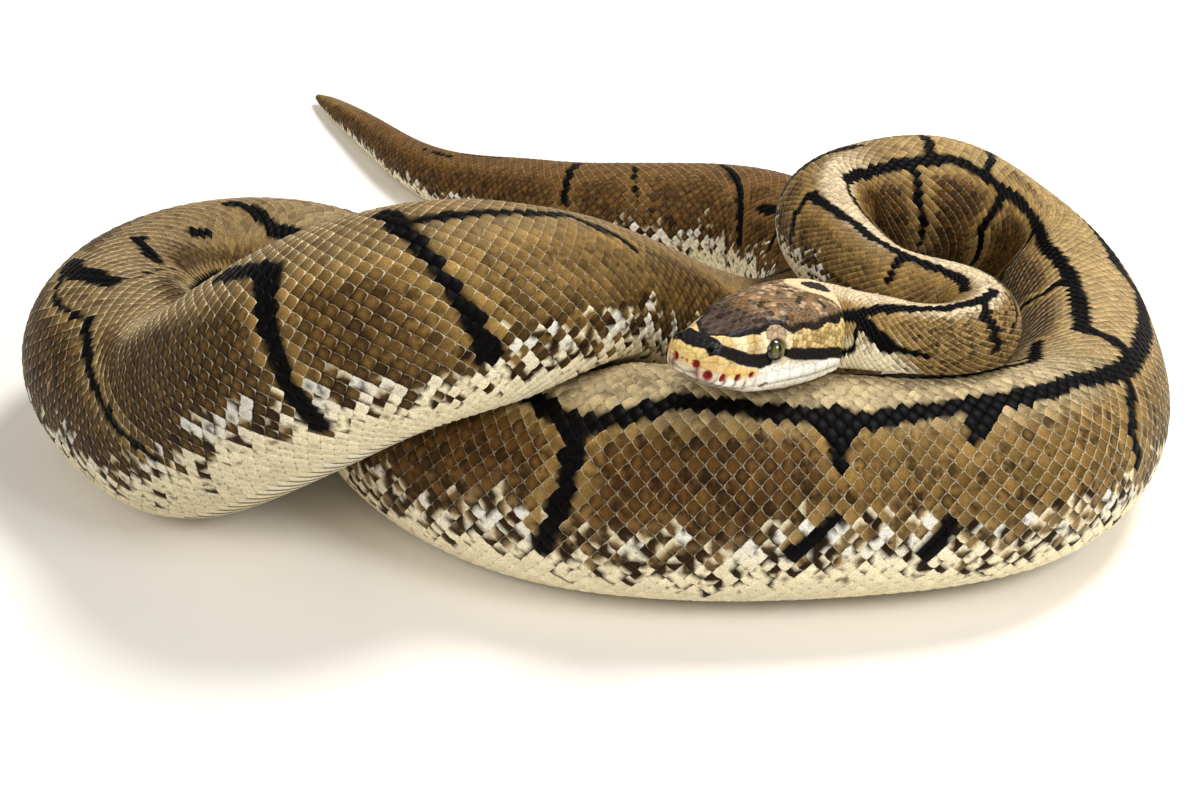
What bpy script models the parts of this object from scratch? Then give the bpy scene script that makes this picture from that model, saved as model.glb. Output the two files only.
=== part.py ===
"""A coiled ball python, life size and still, resting on its belly.

The body is one smooth route, from the tip of the snout to the tip of the tail,
swept with a cross-section that changes along it: the head's own outline first,
then a round body with a flat belly.  Where two lengths of the coil lie against
each other, both are flattened along the plane between them, as soft bodies are.
The swept form is parted with thin cuts into head, lower jaw, neck, trunk and tail.

Lengths are in millimetres and are turned to metres when a mesh is made.
"""
import math

import bmesh
import bpy
import numpy as np
from mathutils import Vector

MM = 0.001

# ---------------------------------------------------------------- driving sizes
CUT = 0.30                  # gap between neighbouring lengths
PRESS_GAP = 1.00            # gap between lengths that lie against each other
SEGMENTS = 20               # sides of a cross-section
RING_STEP = 0.40            # spacing of cross-sections, as a share of the girth
LEAST_STEP = 3.2            # closest spacing of cross-sections

HEAD_LENGTH = 53.0          # snout tip to the cut behind the jaws
SNOUT_CAP = 5.5             # length of the rounded front of the snout
JAW_CUT = 45.0              # lower jaw's hinge, behind the snout tip
EYE_RADIUS = 2.9
EYE_BEHIND_TIP = 21.3
EYE_HEIGHT = 2.4            # above the head's axis
EYE_OUT = 9.6               # from the head's middle plane
EYE_GAP = 0.30

COIL_CENTRE = (-1.45, 82.75)  # middle of the coil's footprint, in the route's own plan

# ---------------------------------------------------------------- the route


def arc(centre, radius, start, end, count, low, high):
    """Points on a level or sloping bend: angles in degrees, heights low to high."""
    points = []
    for k in range(count):
        share = k / (count - 1)
        angle = math.radians(start + (end - start) * share)
        points.append((centre[0] + radius * math.cos(angle),
                       centre[1] + radius * math.sin(angle),
                       low + (high - low) * share))
    return points


HEAD_LINE = [(19.8 + 0.647 * s, -65 + 0.718 * s, 74.0 - 0.255 * s) for s in (0, 12, 24, 36, 48)]
NECK_OUT = [(60.5, -27.5, 59.6), (71, -29, 58.6), (81, -30.6, 58.3)]
NECK_FOLD = arc((83.6, -19.2), 11.3, -58, 62, 4, 58.6, 58.2)
NECK_RETURN = [(75, -1.5, 57.6), (65, 17, 56), (60, 38, 55), (63, 53, 55), (73, 60.5, 54.5), (86, 67, 51.5)]
RIGHT_BEND = [(99, 75.5, 44), (112, 80.5, 33), (124, 75, 24.2), (130.5, 57, 20.2), (130.5, 33, 20), (126, 2, 22),
              (116, -22, 24.4)]
FRONT = [(99, -38, 27), (74, -44, 27.5), (39, -46, 28), (10, -43, 27.5), (-15, -33, 26), (-36, -15, 25),
         (-48, 2, 25), (-57, 20, 25.5), (-63.5, 35, 25.5)]
LEFT_BEND = arc((-95, 26.5), 31.5, 44, 214, 8, 25.5, 26)
OVER_FRONT = [(-109, -8.5, 27.3), (-98, -18, 34.6), (-86.5, -26.5, 45.5), (-73, -34.5, 57.5), (-59.5, -39, 66.5),
              (-46, -39.5, 71.5), (-33, -35.5, 72.3), (-20, -27.5, 69), (-8, -15, 62), (3, 0, 51.5), (15, 14, 39),
              (29, 26, 27)]
UNDER_NECK = [(45, 35, 20), (59, 46, 19.5), (66, 64, 19), (63, 85, 18.6), (53, 103, 18.4), (35, 115, 17.4)]
TAIL = [(0, 127, 14.6), (-22, 145, 11.2), (-45, 164, 8.4), (-61, 183.5, 6.7), (-75, 208, 5.1), (-94, 241, 2.1)]
ROUTE = (HEAD_LINE + NECK_OUT + NECK_FOLD + NECK_RETURN + RIGHT_BEND + FRONT + LEFT_BEND + OVER_FRONT + UNDER_NECK + TAIL)

# half-width of the body against distance from the snout tip
GIRTH = [(0, 9.6), (10, 11), (50, 11), (66, 11.2), (76, 10.5), (90, 10.2), (132, 11.5), (174, 12.8), (196, 14.6), (219, 17.4),
         (243, 18.4), (279, 18.9), (354, 23.4), (419, 27.6), (469, 29.2), (519, 29), (579, 27.6), (659, 27), (719, 27.3),
         (779, 28.8), (814, 27.2), (845, 24), (877, 21.6), (919, 20.6), (979, 20), (1029, 19.4), (1074, 17.3),
         (1109, 13.4), (1139, 9.5), (1165, 7.2), (1193, 5.4), (1211, 4.1), (1223, 2.8), (1231, 1.3)]

# node names and where each length ends, in millimetres from the snout tip
LENGTHS = [("neck", 187), ("trunk_1_right_bend", 369), ("trunk_2_front", 554), ("trunk_3_left_bend", 714),
           ("trunk_4_over_front", 881), ("trunk_5_under_neck", 1009), ("trunk_6_back", 1104), ("tail", None)]

# ---------------------------------------------------------------- curves


def smooth_through(knots, values, at):
    """Natural cubic spline through values at knots, read at the given places."""
    knots = np.asarray(knots, float)
    values = np.asarray(values, float)
    count = len(knots)
    step = np.diff(knots)
    slope = (np.diff(values, axis=0).T / step).T
    system = np.eye(count)
    right = np.zeros_like(values)
    for k in range(1, count - 1):
        system[k, k - 1:k + 2] = (step[k - 1], 2 * (step[k - 1] + step[k]), step[k])
        right[k] = 6 * (slope[k] - slope[k - 1])
    bend = np.linalg.solve(system, right)
    span = np.clip(np.searchsorted(knots, at, side="right") - 1, 0, count - 2)
    shape = (slice(None),) + (None,) * (values.ndim - 1)
    h = step[span][shape]
    a = (knots[span + 1] - at)[shape]
    b = (at - knots[span])[shape]
    return ((bend[span] * a ** 3 + bend[span + 1] * b ** 3) / (6 * h)
            + (values[span] / h - bend[span] * h / 6) * a
            + (values[span + 1] / h - bend[span + 1] * h / 6) * b)


def even(table, at):
    """Monotone cubic through (place, value) pairs: no overshoot between them."""
    place, value = (np.array(column, float) for column in zip(*table))
    step = np.diff(place)
    slope = np.diff(value) / step
    tangent = np.zeros(len(place))
    tangent[0], tangent[-1] = slope[0], slope[-1]
    for k in range(1, len(place) - 1):
        if slope[k - 1] * slope[k] > 0:
            w1 = 2 * step[k] + step[k - 1]
            w2 = step[k] + 2 * step[k - 1]
            tangent[k] = (w1 + w2) / (w1 / slope[k - 1] + w2 / slope[k])
    at = np.clip(at, place[0], place[-1])
    span = np.clip(np.searchsorted(place, at, side="right") - 1, 0, len(place) - 2)
    h = step[span]
    u = (at - place[span]) / h
    return ((1 + 2 * u) * (1 - u) ** 2 * value[span] + u * (1 - u) ** 2 * h * tangent[span]
            + u * u * (3 - 2 * u) * value[span + 1] - u * u * (1 - u) * h * tangent[span + 1])


class Route:
    """The body's centre line, with its length, direction, up and side at any place."""

    FINE = 1.0                                  # spacing of the stored samples

    def __init__(self):
        knots = np.array(ROUTE, float)
        knots[:, 0] -= COIL_CENTRE[0]
        knots[:, 1] -= COIL_CENTRE[1]
        chord = np.sqrt(np.linalg.norm(np.diff(knots, axis=0), axis=1))
        place = np.concatenate([[0], np.cumsum(chord)])
        dense = smooth_through(place, knots, np.linspace(0, place[-1], 6000))
        along = np.concatenate([[0], np.cumsum(np.linalg.norm(np.diff(dense, axis=0), axis=1))])
        self.length = along[-1]
        self.s = np.linspace(0, self.length, int(self.length / self.FINE) + 1)
        self.centre = np.stack([np.interp(self.s, along, dense[:, k]) for k in range(3)], 1)
        tangent = np.gradient(self.centre, self.s, axis=0)
        self.tangent = tangent / np.linalg.norm(tangent, axis=1, keepdims=True)
        turn = np.linalg.norm(np.gradient(self.tangent, self.s, axis=0), axis=1)
        self.bend_radius = 1 / np.maximum(turn, 1e-4)
        self.girth = even(GIRTH, self.s)

    def at(self, s):
        """Centre, direction, side and up at distance s: up is as near upright as can be."""
        centre = np.array([np.interp(s, self.s, self.centre[:, k]) for k in range(3)])
        tangent = np.array([np.interp(s, self.s, self.tangent[:, k]) for k in range(3)])
        tangent /= np.linalg.norm(tangent)
        up = np.array([0.0, 0.0, 1.0]) - tangent[2] * tangent
        up /= np.linalg.norm(up)
        return centre, tangent, np.cross(tangent, up), up

    def stations(self, start, end):
        """Places of the cross-sections between two cuts, closer where thin or bent."""
        wanted = np.maximum(np.minimum(self.girth, 0.85 * self.bend_radius) * RING_STEP, LEAST_STEP)
        count = np.concatenate([[0], np.cumsum(np.diff(self.s) / wanted[1:])])
        first, last = np.interp([start, end], self.s, count)
        number = max(2, int(math.ceil(last - first)) + 1)
        return np.interp(np.linspace(first, last, number), count, self.s)


# ---------------------------------------------------------------- cross-sections

# the head's outline against distance behind the snout tip, from its axis
HEAD_HALF_WIDTH = [(0, 8.3), (5.5, 8.4), (10, 9.2), (18, 10.3), (25.5, 12.0), (32, 13.2), (38, 14.2), (43, 14.5),
                   (48, 13.9), (54, 12.4), (60, 11.3), (66, 11.1)]
HEAD_TOP = [(0, 4.2), (5.5, 5.2), (12, 7.4), (18, 10), (25.5, 12), (33, 12.8), (41, 12.9), (50, 12.5), (58, 11.7), (66, 11)]
HEAD_BELOW = [(0, 6.0), (5.5, 8), (12, 9.8), (20, 10.8), (30, 11), (40, 11.5), (50, 11.8), (58, 11.7), (66, 11.3)]
HEAD_END = 66.0
MOUTH_LINE = [(-2, -4.5), (3, -5.2), (8, -6.6), (14, -7.4), (20, -7.2), (26, -6.2), (34, -5.2), (45, -3.4)]
HEAD_SQUARE = 2.7           # squareness of the head's section: 2 is an ellipse
BODY_WIDE = 1.02            # body's half-width and its height above the centre line, as shares of its girth
BODY_TALL = 0.97
BODY_DEEP = 1.03            # the belly's reach below the centre line, before the floor flattens it


def section(s, angle):
    """Side and up offsets of the surface at distance s: angle 0 is the back, pi the belly."""
    sine, cosine = np.sin(angle), np.cos(angle)
    girth = even(GIRTH, s)
    body_side = girth * BODY_WIDE * sine
    body_up = girth * np.where(cosine > 0, BODY_TALL, BODY_DEEP) * cosine
    if np.min(s) >= HEAD_END:
        return body_side, body_up
    square = 2 / (2 + (HEAD_SQUARE - 2) * np.clip((HEAD_END - s) / 20, 0, 1))
    cap = (1 - (1 - np.clip(s / SNOUT_CAP, 0, 1)) ** 2.4) ** (1 / 2.4)
    wide = even(HEAD_HALF_WIDTH, s) * cap
    tall = np.where(cosine > 0, even(HEAD_TOP, s), even(HEAD_BELOW, s)) * cap
    head_side = wide * np.sign(sine) * np.abs(sine) ** square
    head_up = tall * np.sign(cosine) * np.abs(cosine) ** square
    share = np.clip((s - 50) / (HEAD_END - 50), 0, 1)
    share = share * share * (3 - 2 * share)
    return head_side + (body_side - head_side) * share, head_up + (body_up - head_up) * share


def flattened(route, s, ring, centre, tangent):
    """Press a cross-section's points back, in its own plane, from the floor and from other lengths."""
    girth = float(np.interp(s, route.s, route.girth))
    other = (np.abs(route.s - s) > 1.7 * (girth + route.girth)) & (route.girth > 0)
    away = route.centre - centre
    distance = np.linalg.norm(away, axis=1)
    near = other & (distance < girth + route.girth + 2 * PRESS_GAP)
    near[1::2] = False
    planes = [(np.array([0.0, 0.0, -1.0]), centre[2])]
    for k in np.nonzero(near)[0]:
        reach = (distance[k] ** 2 + girth ** 2 - route.girth[k] ** 2) / (2 * distance[k])
        planes.append((away[k] / distance[k], reach - PRESS_GAP / 2))
    for _ in range(3):
        for normal, reach in planes:
            in_plane = normal - (normal @ tangent) * tangent
            size = np.linalg.norm(in_plane)
            if size < 0.3:
                continue
            in_plane /= size
            over = (ring - centre) @ normal - reach
            ring = ring - np.outer(np.maximum(over, 0) / size, in_plane)
    ring[np.abs(ring[:, 2]) < 0.02, 2] = 0.0
    return ring


def ring_at(route, s, segments=SEGMENTS):
    centre, tangent, side, up = route.at(s)
    angle = np.linspace(0, 2 * math.pi, segments, endpoint=False)
    out, rise = section(np.full(segments, float(s)), angle)
    ring = centre + np.outer(out, side) + np.outer(rise, up)
    return centre, flattened(route, s, ring, centre, tangent)


# ---------------------------------------------------------------- meshes


def make_object(name, verts, faces, material):
    mesh = bpy.data.meshes.new(name)
    mesh.from_pydata([tuple(np.asarray(v) * MM) for v in verts], [], faces)
    mesh.materials.append(material)
    obj = bpy.data.objects.new(name, mesh)
    bpy.context.scene.collection.objects.link(obj)
    return obj


def outward(obj):
    """Point all faces out and shade them smooth but for the cut ends."""
    shape = bmesh.new()
    shape.from_mesh(obj.data)
    bmesh.ops.recalc_face_normals(shape, faces=shape.faces[:])
    shape.to_mesh(obj.data)
    shape.free()
    obj.data.shade_smooth()
    obj.data.set_sharp_from_angle(angle=math.radians(50))


def swept(name, route, places, material):
    """A closed length of body: rings joined by quads, with a fan over each end."""
    verts, faces = [], []
    centres = []
    for s in places:
        centre, ring = ring_at(route, s)
        centres.append(centre)
        verts.extend(ring)
    for r in range(len(places) - 1):
        for k in range(SEGMENTS):
            a = r * SEGMENTS + k
            b = r * SEGMENTS + (k + 1) % SEGMENTS
            faces.append((a, b, b + SEGMENTS, a + SEGMENTS))
    for r, centre in ((0, centres[0]), (len(places) - 1, centres[-1])):
        ring = verts[r * SEGMENTS:(r + 1) * SEGMENTS]
        hub = len(verts)
        verts.append(np.mean(ring, axis=0))
        for k in range(SEGMENTS):
            faces.append((hub, r * SEGMENTS + k, r * SEGMENTS + (k + 1) % SEGMENTS))
    obj = make_object(name, verts, faces, material)
    outward(obj)
    return obj


def cut_away(obj, cutter):
    """Boolean difference, with the cutter kept as a hidden guide."""
    cutter.hide_render = True
    cutter.display_type = 'WIRE'
    modifier = obj.modifiers.new("cut " + cutter.name, 'BOOLEAN')
    modifier.operation = 'DIFFERENCE'
    modifier.solver = 'EXACT'
    modifier.object = cutter


def keep_inside(obj, keeper):
    keeper.hide_render = True
    keeper.display_type = 'WIRE'
    modifier = obj.modifiers.new("keep " + keeper.name, 'BOOLEAN')
    modifier.operation = 'INTERSECT'
    modifier.solver = 'EXACT'
    modifier.object = keeper


def ball(name, centre, radius, material, segments, rings):
    mesh = bpy.data.meshes.new(name)
    shape = bmesh.new()
    bmesh.ops.create_uvsphere(shape, u_segments=segments, v_segments=rings, radius=radius * MM)
    shape.to_mesh(mesh)
    shape.free()
    mesh.shade_smooth()
    if material:
        mesh.materials.append(material)
    obj = bpy.data.objects.new(name, mesh)
    obj.location = Vector(centre) * MM
    bpy.context.scene.collection.objects.link(obj)
    return obj


def finish(name, colour, roughness):
    material = bpy.data.materials.new(name)
    material.use_nodes = True
    shader = material.node_tree.nodes["Principled BSDF"]
    shader.inputs["Base Color"].default_value = (*colour, 1)
    shader.inputs["Roughness"].default_value = roughness
    shader.inputs["Metallic"].default_value = 0.0
    return material


# ---------------------------------------------------------------- sub-parts


def jaw_block(name, route, grow):
    """The space of the lower jaw seen from the side, run right across the head."""
    places = np.linspace(-2, JAW_CUT + grow, 12)
    top = [(x, float(even(MOUTH_LINE, np.array(x))) + grow) for x in places]
    outline = top + [(JAW_CUT + grow, -30.0), (-2.0, -30.0)]
    verts = []
    for across in (-30.0, 30.0):
        for x, z in outline:
            centre, tangent, side, up = route.at(max(x, 0))
            verts.append(centre + tangent * min(x, 0) + side * across + up * z)
    count = len(outline)
    faces = [tuple(range(count)), tuple(range(2 * count - 1, count - 1, -1))]
    for k in range(count):
        faces.append((k, (k + 1) % count, count + (k + 1) % count, count + k))
    block = make_object(name, verts, faces, None)
    outward(block)
    return block


def head_and_jaw(route, skin):
    near_tip = SNOUT_CAP * (1 - np.cos(np.linspace(0.16, math.pi / 2, 6)))
    behind = np.linspace(SNOUT_CAP, HEAD_LENGTH - CUT / 2, 15)[1:]
    places = np.concatenate([near_tip, behind])
    head = swept("head", route, places, skin)
    jaw = swept("lower_jaw", route, places, skin)
    keep_inside(jaw, jaw_block("jaw_keeper", route, 0.0))
    cut_away(head, jaw_block("mouth_cutter", route, CUT))
    return head


def eyes(route, head, glass):
    centre, _, side, up = route.at(EYE_BEHIND_TIP)
    for name, across in (("eye_left", -1), ("eye_right", 1)):
        place = centre + side * across * EYE_OUT + up * EYE_HEIGHT
        ball(name, place, EYE_RADIUS, glass, 14, 9)
        cut_away(head, ball(name + "_socket", place, EYE_RADIUS + EYE_GAP, None, 16, 10))


def body(route, skin_of):
    start = HEAD_LENGTH + CUT / 2
    for name, end in LENGTHS:
        end = route.length - 0.6 if end is None else end
        swept(name, route, route.stations(start, end - CUT / 2), skin_of(name))
        start = end + CUT / 2


def main():
    for obj in list(bpy.data.objects):
        bpy.data.objects.remove(obj, do_unlink=True)
    route = Route()
    head_skin = finish("head scales", (0.30, 0.20, 0.10), 0.35)
    glass = finish("eye", (0.04, 0.05, 0.03), 0.08)
    shades = {"neck": (0.42, 0.30, 0.15), "tail": (0.30, 0.20, 0.12)}

    def skin_of(name):
        return finish(name + " scales", shades.get(name, (0.36, 0.25, 0.13)), 0.38)

    head = head_and_jaw(route, head_skin)
    eyes(route, head, glass)
    body(route, skin_of)


main()
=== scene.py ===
"""The looks of a coiled ball python: skin, mesh scales, head shields, eyes, floor, light and camera.

The route and the cross-sections are the CAD part's own, repeated here, so that skin and scales
lie just inside its surface.  Lengths are in millimetres and turn to metres when a mesh is made.
A place on the body is a distance from the snout tip and an angle round it: 0 is up, 90 the side
that the head shows to the camera.
"""
import math
from types import SimpleNamespace

import bpy
import numpy as np
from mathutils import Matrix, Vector


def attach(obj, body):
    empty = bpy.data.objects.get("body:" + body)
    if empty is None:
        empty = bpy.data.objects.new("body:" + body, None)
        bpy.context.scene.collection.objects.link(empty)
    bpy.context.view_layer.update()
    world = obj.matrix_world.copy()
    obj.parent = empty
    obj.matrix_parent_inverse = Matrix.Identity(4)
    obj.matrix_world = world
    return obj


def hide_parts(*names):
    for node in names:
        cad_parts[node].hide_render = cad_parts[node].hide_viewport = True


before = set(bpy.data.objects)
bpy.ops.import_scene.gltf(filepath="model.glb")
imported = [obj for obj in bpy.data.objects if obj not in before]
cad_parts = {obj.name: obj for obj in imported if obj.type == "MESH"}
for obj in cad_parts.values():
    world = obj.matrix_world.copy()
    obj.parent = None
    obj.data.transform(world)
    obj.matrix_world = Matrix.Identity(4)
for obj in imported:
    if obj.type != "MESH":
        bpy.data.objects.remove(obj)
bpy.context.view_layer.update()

MM = 0.001
PRESS_GAP = 1.00            # gap between lengths that lie against each other
PRESS_ROUNDS = 3            # times a section is pressed, since one plane can push it over another
SNOUT_CAP = 5.5             # length of the rounded front of the snout
EYE_RADIUS = 2.9
EYE_BEHIND_TIP = 21.3
EYE_HEIGHT = 2.4
EYE_OUT = 9.6
COIL_CENTRE = (-1.45, 82.75)
FLOOR_GAP = 0.02            # nothing of the skin or scales lies lower than this
PATCH_HALF = 0.0015         # half a scale's patch on the map that textures are baked to
DICE = 8                    # seeded numbers from 0 to 1 that each scale or shield gets for its looks

# ---------------------------------------------------------------- the route, as the CAD part has it


def arc(centre, radius, start, end, count, low, high):
    """Points on a level or sloping bend: angles in degrees, heights low to high."""
    points = []
    for k in range(count):
        share = k / (count - 1)
        angle = math.radians(start + (end - start) * share)
        points.append((centre[0] + radius * math.cos(angle),
                       centre[1] + radius * math.sin(angle),
                       low + (high - low) * share))
    return points


HEAD_LINE = [(19.8 + 0.647 * s, -65 + 0.718 * s, 74.0 - 0.255 * s) for s in (0, 12, 24, 36, 48)]
NECK_OUT = [(60.5, -27.5, 59.6), (71, -29, 58.6), (81, -30.6, 58.3)]
NECK_FOLD = arc((83.6, -19.2), 11.3, -58, 62, 4, 58.6, 58.2)
NECK_RETURN = [(75, -1.5, 57.6), (65, 17, 56), (60, 38, 55), (63, 53, 55), (73, 60.5, 54.5),
    (86, 67, 51.5)]
RIGHT_BEND = [(99, 75.5, 44), (112, 80.5, 33), (124, 75, 24.2), (130.5, 57, 20.2), (130.5, 33, 20),
    (126, 2, 22), (116, -22, 24.4)]
FRONT = [(99, -38, 27), (74, -44, 27.5), (39, -46, 28), (10, -43, 27.5), (-15, -33, 26), (-36, -15, 25),
    (-48, 2, 25), (-57, 20, 25.5), (-63.5, 35, 25.5)]
LEFT_BEND = arc((-95, 26.5), 31.5, 44, 214, 8, 25.5, 26)
OVER_FRONT = [(-109, -8.5, 27.3), (-98, -18, 34.6), (-86.5, -26.5, 45.5), (-73, -34.5, 57.5),
    (-59.5, -39, 66.5), (-46, -39.5, 71.5), (-33, -35.5, 72.3), (-20, -27.5, 69), (-8, -15, 62),
    (3, 0, 51.5), (15, 14, 39), (29, 26, 27)]
UNDER_NECK = [(45, 35, 20), (59, 46, 19.5), (66, 64, 19), (63, 85, 18.6), (53, 103, 18.4),
    (35, 115, 17.4)]
TAIL = [(0, 127, 14.6), (-22, 145, 11.2), (-45, 164, 8.4), (-61, 183.5, 6.7), (-75, 208, 5.1),
    (-94, 241, 2.1)]
ROUTE = (HEAD_LINE + NECK_OUT + NECK_FOLD + NECK_RETURN + RIGHT_BEND + FRONT + LEFT_BEND + OVER_FRONT
         + UNDER_NECK + TAIL)

# half-width of the body against distance from the snout tip
GIRTH = [(0, 9.6), (10, 11), (50, 11), (66, 11.2), (76, 10.5), (90, 10.2), (132, 11.5), (174, 12.8),
    (196, 14.6), (219, 17.4), (243, 18.4), (279, 18.9), (354, 23.4), (419, 27.6), (469, 29.2),
    (519, 29), (579, 27.6), (659, 27), (719, 27.3), (779, 28.8), (814, 27.2), (845, 24), (877, 21.6),
    (919, 20.6), (979, 20), (1029, 19.4), (1074, 17.3), (1109, 13.4), (1139, 9.5), (1165, 7.2),
    (1193, 5.4), (1211, 4.1), (1223, 2.8), (1231, 1.3)]


def smooth_through(knots, values, at):
    """Natural cubic spline through values at knots, read at the given places."""
    knots = np.asarray(knots, float)
    values = np.asarray(values, float)
    count = len(knots)
    step = np.diff(knots)
    slope = (np.diff(values, axis=0).T / step).T
    system = np.eye(count)
    right = np.zeros_like(values)
    for k in range(1, count - 1):
        system[k, k - 1:k + 2] = (step[k - 1], 2 * (step[k - 1] + step[k]), step[k])
        right[k] = 6 * (slope[k] - slope[k - 1])
    bend = np.linalg.solve(system, right)
    span = np.clip(np.searchsorted(knots, at, side="right") - 1, 0, count - 2)
    shape = (slice(None),) + (None,) * (values.ndim - 1)
    h = step[span][shape]
    a = (knots[span + 1] - at)[shape]
    b = (at - knots[span])[shape]
    return ((bend[span] * a ** 3 + bend[span + 1] * b ** 3) / (6 * h)
            + (values[span] / h - bend[span] * h / 6) * a
            + (values[span + 1] / h - bend[span + 1] * h / 6) * b)


def even(table, at):
    """Monotone cubic through (place, value) pairs: no overshoot between them."""
    place, value = (np.array(column, float) for column in zip(*table))
    step = np.diff(place)
    slope = np.diff(value) / step
    tangent = np.zeros(len(place))
    tangent[0], tangent[-1] = slope[0], slope[-1]
    for k in range(1, len(place) - 1):
        if slope[k - 1] * slope[k] > 0:
            w1 = 2 * step[k] + step[k - 1]
            w2 = step[k] + 2 * step[k - 1]
            tangent[k] = (w1 + w2) / (w1 / slope[k - 1] + w2 / slope[k])
    at = np.clip(at, place[0], place[-1])
    span = np.clip(np.searchsorted(place, at, side="right") - 1, 0, len(place) - 2)
    h = step[span]
    u = (at - place[span]) / h
    return ((1 + 2 * u) * (1 - u) ** 2 * value[span] + u * (1 - u) ** 2 * h * tangent[span]
            + u * u * (3 - 2 * u) * value[span + 1] - u * u * (1 - u) * h * tangent[span + 1])


class Route:
    """The body's centre line, with its length, direction, up and side at any place."""

    FINE = 1.0                                  # spacing of the stored samples

    def __init__(self):
        knots = np.array(ROUTE, float)
        knots[:, 0] -= COIL_CENTRE[0]
        knots[:, 1] -= COIL_CENTRE[1]
        chord = np.sqrt(np.linalg.norm(np.diff(knots, axis=0), axis=1))
        place = np.concatenate([[0], np.cumsum(chord)])
        dense = smooth_through(place, knots, np.linspace(0, place[-1], 6000))
        along = np.concatenate([[0], np.cumsum(np.linalg.norm(np.diff(dense, axis=0), axis=1))])
        self.length = along[-1]
        self.s = np.linspace(0, self.length, int(self.length / self.FINE) + 1)
        self.centre = np.stack([np.interp(self.s, along, dense[:, k]) for k in range(3)], 1)
        tangent = np.gradient(self.centre, self.s, axis=0)
        self.tangent = tangent / np.linalg.norm(tangent, axis=1, keepdims=True)
        turn = np.linalg.norm(np.gradient(self.tangent, self.s, axis=0), axis=1)
        self.turn = np.convolve(np.pad(turn, 6, mode="edge"), np.full(13, 1 / 13), mode="valid")
        self.girth = even(GIRTH, self.s)

    def at(self, s):
        """Centre, direction, side and up at distance s: up is as near upright as can be."""
        centre = np.array([np.interp(s, self.s, self.centre[:, k]) for k in range(3)])
        tangent = np.array([np.interp(s, self.s, self.tangent[:, k]) for k in range(3)])
        tangent /= np.linalg.norm(tangent)
        up = np.array([0.0, 0.0, 1.0]) - tangent[2] * tangent
        up /= np.linalg.norm(up)
        return centre, tangent, np.cross(tangent, up), up


# ---------------------------------------------------------------- cross-sections

# the head's outline against distance behind the snout tip, from its axis
HEAD_HALF_WIDTH = [(0, 8.3), (5.5, 8.4), (10, 9.2), (18, 10.3), (25.5, 12.0), (32, 13.2), (38, 14.2),
    (43, 14.5), (48, 13.9), (54, 12.4), (60, 11.3), (66, 11.1)]
HEAD_TOP = [(0, 4.2), (5.5, 5.2), (12, 7.4), (18, 10), (25.5, 12), (33, 12.8), (41, 12.9), (50, 12.5),
    (58, 11.7), (66, 11)]
HEAD_BELOW = [(0, 6.0), (5.5, 8), (12, 9.8), (20, 10.8), (30, 11), (40, 11.5), (50, 11.8), (58, 11.7),
    (66, 11.3)]
HEAD_END = 66.0
MOUTH_LINE = [(-2, -4.5), (3, -5.2), (8, -6.6), (14, -7.4), (20, -7.2), (26, -6.2), (34, -5.2), (45, -3.4)]
HEAD_SQUARE = 2.7           # squareness of the head's section: 2 is an ellipse
BODY_WIDE = 1.02            # body's half-width and its height above the centre line, as shares of its girth
BODY_TALL = 0.97
BODY_DEEP = 1.03            # the belly's reach below the centre line, before the floor flattens it


def section(s, angle):
    """Side and up offsets of the surface at distance s: angle 0 is the back, pi the belly."""
    sine, cosine = np.sin(angle), np.cos(angle)
    girth = even(GIRTH, s)
    body_side = girth * BODY_WIDE * sine
    body_up = girth * np.where(cosine > 0, BODY_TALL, BODY_DEEP) * cosine
    if np.min(s) >= HEAD_END:
        return body_side, body_up
    square = 2 / (2 + (HEAD_SQUARE - 2) * np.clip((HEAD_END - s) / 20, 0, 1))
    cap = (1 - (1 - np.clip(s / SNOUT_CAP, 0, 1)) ** 2.4) ** (1 / 2.4)
    wide = even(HEAD_HALF_WIDTH, s) * cap
    tall = np.where(cosine > 0, even(HEAD_TOP, s), even(HEAD_BELOW, s)) * cap
    head_side = wide * np.sign(sine) * np.abs(sine) ** square
    head_up = tall * np.sign(cosine) * np.abs(cosine) ** square
    share = np.clip((s - 50) / (HEAD_END - 50), 0, 1)
    share = share * share * (3 - 2 * share)
    return head_side + (body_side - head_side) * share, head_up + (body_up - head_up) * share


def flattened(route, s, ring, centre, tangent):
    """Press a cross-section's points back, in its own plane, from the floor and from other lengths."""
    girth = float(np.interp(s, route.s, route.girth))
    other = np.abs(route.s - s) > 1.7 * (girth + route.girth)
    away = route.centre - centre
    distance = np.linalg.norm(away, axis=1)
    near = other & (distance < girth + route.girth + 2 * PRESS_GAP)
    near[1::2] = False
    planes = [(np.array([0.0, 0.0, -1.0]), centre[2])]
    for k in np.nonzero(near)[0]:
        reach = (distance[k] ** 2 + girth ** 2 - route.girth[k] ** 2) / (2 * distance[k])
        planes.append((away[k] / distance[k], reach - PRESS_GAP / 2))
    for _ in range(PRESS_ROUNDS):
        for normal, reach in planes:
            in_plane = normal - (normal @ tangent) * tangent
            size = np.linalg.norm(in_plane)
            if size < 0.3:
                continue
            in_plane /= size
            over = (ring - centre) @ normal - reach
            ring = ring - np.outer(np.maximum(over, 0) / size, in_plane)
    ring[np.abs(ring[:, 2]) < 0.02, 2] = 0.0
    return ring


def ring_at(route, s, segments):
    """Centre and outline of the body at distance s, pressed by what it touches."""
    centre, tangent, side, up = route.at(s)
    angle = np.linspace(0, 2 * math.pi, segments, endpoint=False)
    out, rise = section(np.full(segments, float(s)), angle)
    ring = centre + np.outer(out, side) + np.outer(rise, up)
    return centre, flattened(route, s, ring, centre, tangent)


# ---------------------------------------------------------------- the surface, read anywhere

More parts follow.
